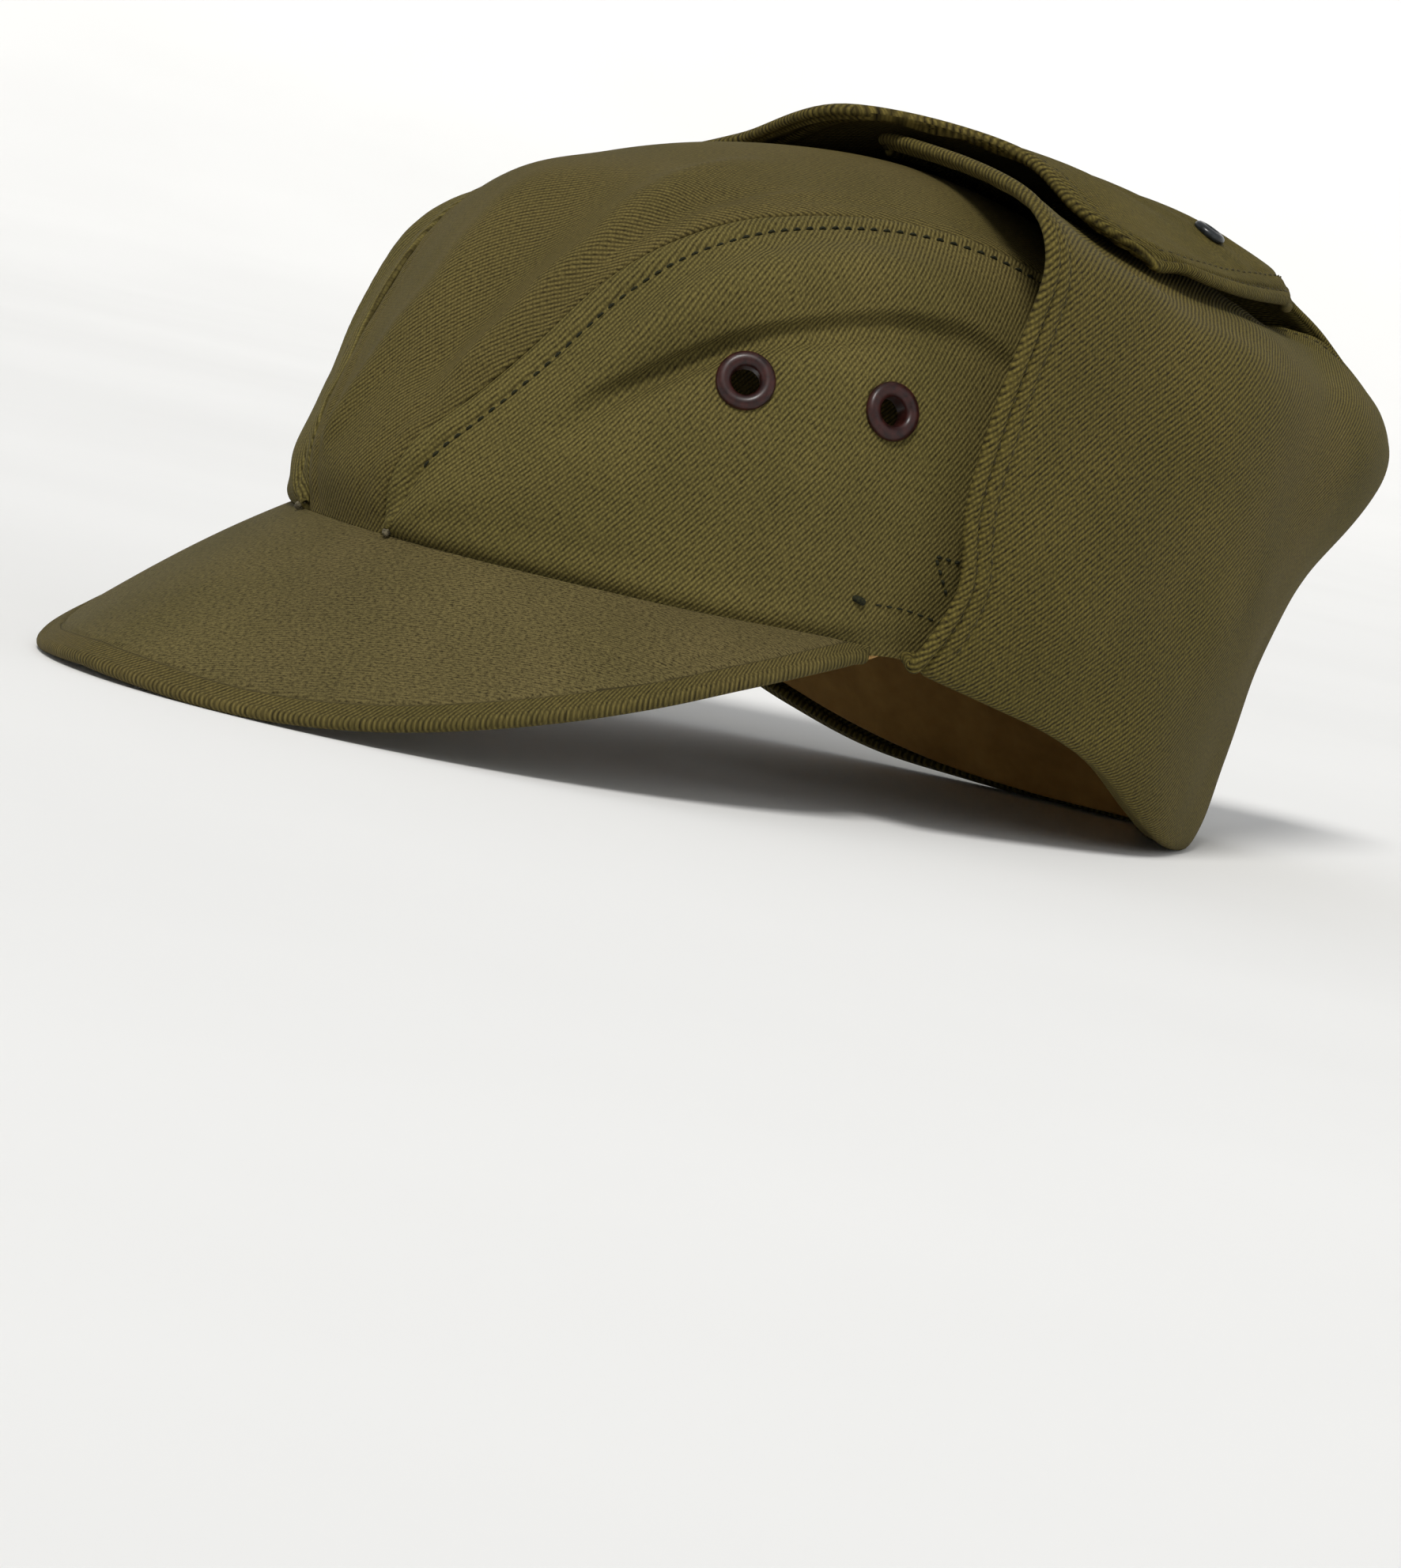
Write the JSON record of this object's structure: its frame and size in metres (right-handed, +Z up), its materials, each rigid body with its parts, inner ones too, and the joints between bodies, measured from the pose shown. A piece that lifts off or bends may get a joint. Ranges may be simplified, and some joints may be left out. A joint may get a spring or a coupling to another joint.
{
  "type": "field cap",
  "caption": "Military field cap of twill: soft crown, stiffened peak, folded-up side flaps crossed over the top, vent eyelets and a sweatband.",
  "frame": {"origin": "middle of the cap's outline in plan, on the surface it rests on", "axes": "+Z up from the surface, the cap faces -Y, +X is the wearer's left"},
  "size_m": [0.1694, 0.315, 0.1375],
  "materials": {
    "crown_cloth": "olive twill",
    "flap_cloth": "olive twill, coarse ribs",
    "peak_cloth": "olive twill over a stiffener",
    "sweatband": "ochre, smooth",
    "eyelet": "dark brown lacquer",
    "stud": "dark lacquer"
  },
  "bodies": {
    "root": {"crown_top": "crown_cloth", "side_panel_left": "crown_cloth", "side_panel_right": "crown_cloth", "peak": "peak_cloth", "neck_flap_left": "flap_cloth", "neck_flap_right": "flap_cloth", "sweatband": "sweatband", "eyelet_left_front": "eyelet", "eyelet_left_rear": "eyelet", "eyelet_right_front": "eyelet", "eyelet_right_rear": "eyelet", "flap_stud": "stud"}
  },
  "joints": []
}
